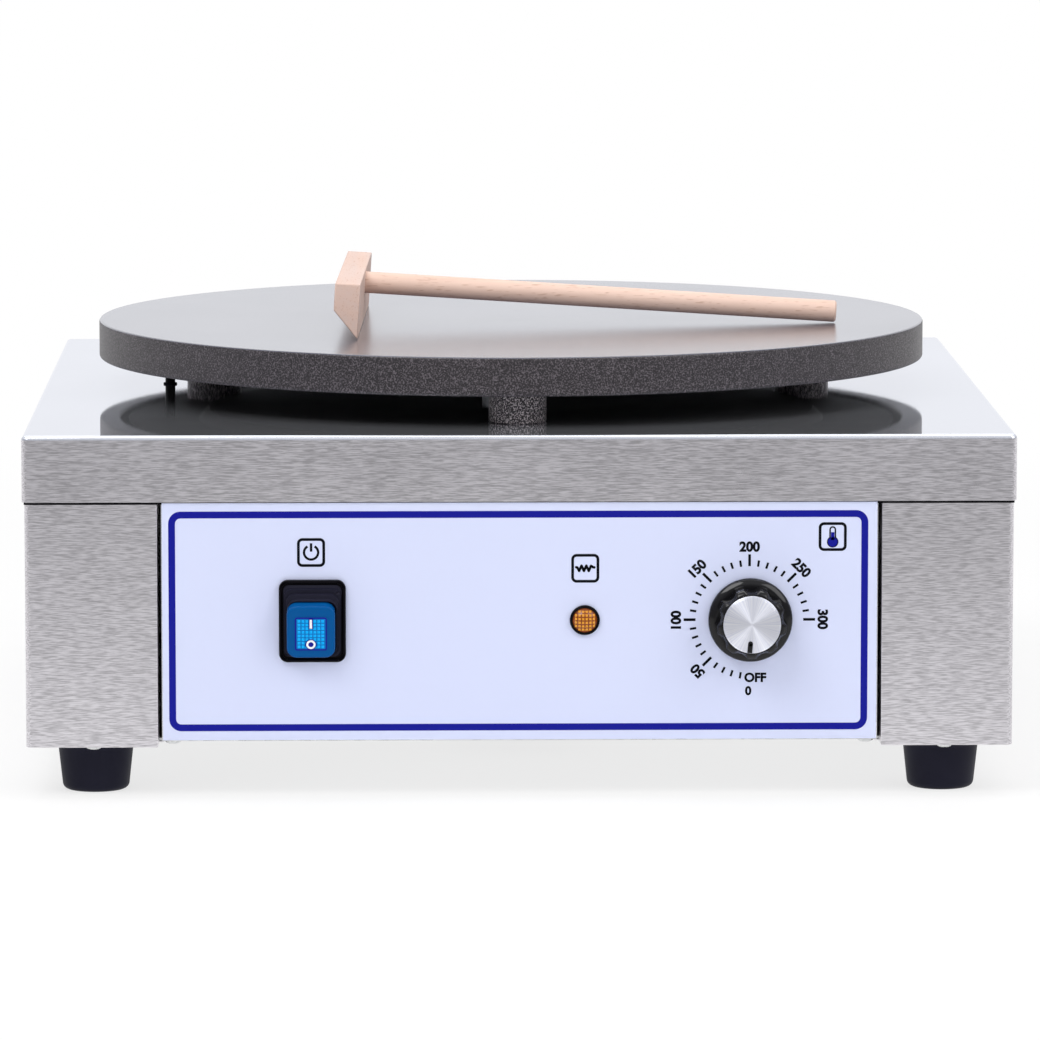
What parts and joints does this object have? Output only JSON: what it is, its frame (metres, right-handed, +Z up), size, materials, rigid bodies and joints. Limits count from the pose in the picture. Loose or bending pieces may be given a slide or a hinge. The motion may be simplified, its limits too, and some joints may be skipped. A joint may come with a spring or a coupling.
{
  "type": "electric crepe maker",
  "caption": "Square steel countertop crepe maker with a round cast griddle plate on legs, a front panel with rocker switch, lamp and dial knob, and a T-shaped wooden batter spreader.",
  "frame": {"origin": "on the surface the four feet stand on, in the middle of the part's outline, under the middle of the griddle plate", "axes": "+X to the right hand of someone facing the control panel, +Y away from them towards the back, +Z up"},
  "size_m": [0.45, 0.4843, 0.2247],
  "materials": {
    "steel_brushed": "brushed along its length",
    "steel_polished": "bright, nearly mirror-like",
    "zinc_steel": "dull zinc plate",
    "panel_print": "satin printed sheet, bluish white with blue and black print",
    "foot_rubber": "matt black",
    "cast_plate": "fine speckled non-stick enamel",
    "element_sheath": "heat-darkened sheath",
    "ceramic_fibre": "soft pale felt",
    "leg_steel": "dark speckled enamel like the plate's",
    "duct_aluminium": "satin",
    "sensor_copper": "bare copper, slightly dull",
    "black_plastic": "satin black",
    "knob_black": "glossy black",
    "knob_aluminium": "spun face",
    "rocker_blue": "glossy blue",
    "window_cyan": "lit cyan with a fine dotted grid",
    "lens_amber": "clear amber with small prisms",
    "white_ceramic": "glazed white",
    "lead_sleeving": "woven glass sleeving, off-white",
    "beech": "bare sanded beech"
  },
  "bodies": {
    "housing": {"base_plate": "zinc_steel", "base_screws": "zinc_steel", "capillary_sleeve": "black_plastic", "centre_duct": "duct_aluminium", "clamp_bolts": "zinc_steel", "control_panel": "zinc_steel", "deck_cover": "steel_polished", "deck_reinforcement": "zinc_steel", "deck_screws": "zinc_steel", "duct_locknut": "zinc_steel", "earth_stud": "zinc_steel", "element_clamp_bars": "zinc_steel", "feet": "foot_rubber", "foot_nuts": "zinc_steel", "foot_screws": "zinc_steel", "gland_body": "black_plastic", "gland_cap": "black_plastic", "gland_locknut": "black_plastic", "gland_seal": "foot_rubber", "griddle_plate": "cast_plate", "heat_shield": "steel_brushed", "heating_element": "element_sheath", "housing_wrap": "steel_brushed", "insulation_pad": "ceramic_fibre", "lamp_body": "black_plastic", "lamp_lens": "lens_amber", "lamp_nut": "zinc_steel", "leg_bolts": "zinc_steel", "leg_washers": "zinc_steel", "panel_overlay": "panel_print", "panel_screws": "zinc_steel", "sensor_bulb": "sensor_copper", "sensor_capillary": "sensor_copper", "sensor_clips": "zinc_steel", "sleeve_grommet": "foot_rubber", "support_legs": "leg_steel", "switch_bezel": "black_plastic", "switch_body": "black_plastic", "switch_boot": "foot_rubber", "switch_terminals": "zinc_steel", "terminal_block": "white_ceramic", "terminal_screws": "zinc_steel", "thermostat_body": "black_plastic", "thermostat_screws": "zinc_steel", "thermostat_terminals": "zinc_steel", "wiring_loom": "lead_sleeving"},
    "knob": {"knob_body": "knob_black", "knob_cap": "knob_aluminium", "knob_spindle": "zinc_steel"},
    "rocker": {"rocker_cap": "rocker_blue", "rocker_window": "window_cyan", "rocker_arm": "black_plastic"},
    "spreader": {"spreader_head": "beech", "spreader_handle": "beech"}
  },
  "joints": [
    {"name": "knob_turn", "type": "hinge", "parent": "housing", "child": "knob", "pos_m": [0.1044, -0.2242, 0.0812], "axis": [0, 1, 0], "range_deg": [0, 270]},
    {"name": "rocker_tilt", "type": "hinge", "parent": "housing", "child": "rocker", "pos_m": [-0.0939, -0.2166, 0.0812], "axis": [-1, 0, 0], "range_deg": [0, 24]},
    {"name": "spreader_lift", "type": "slide", "parent": "housing", "child": "spreader", "axis": [0, 0, 1], "range_m": [0, 0.12]}
  ]
}
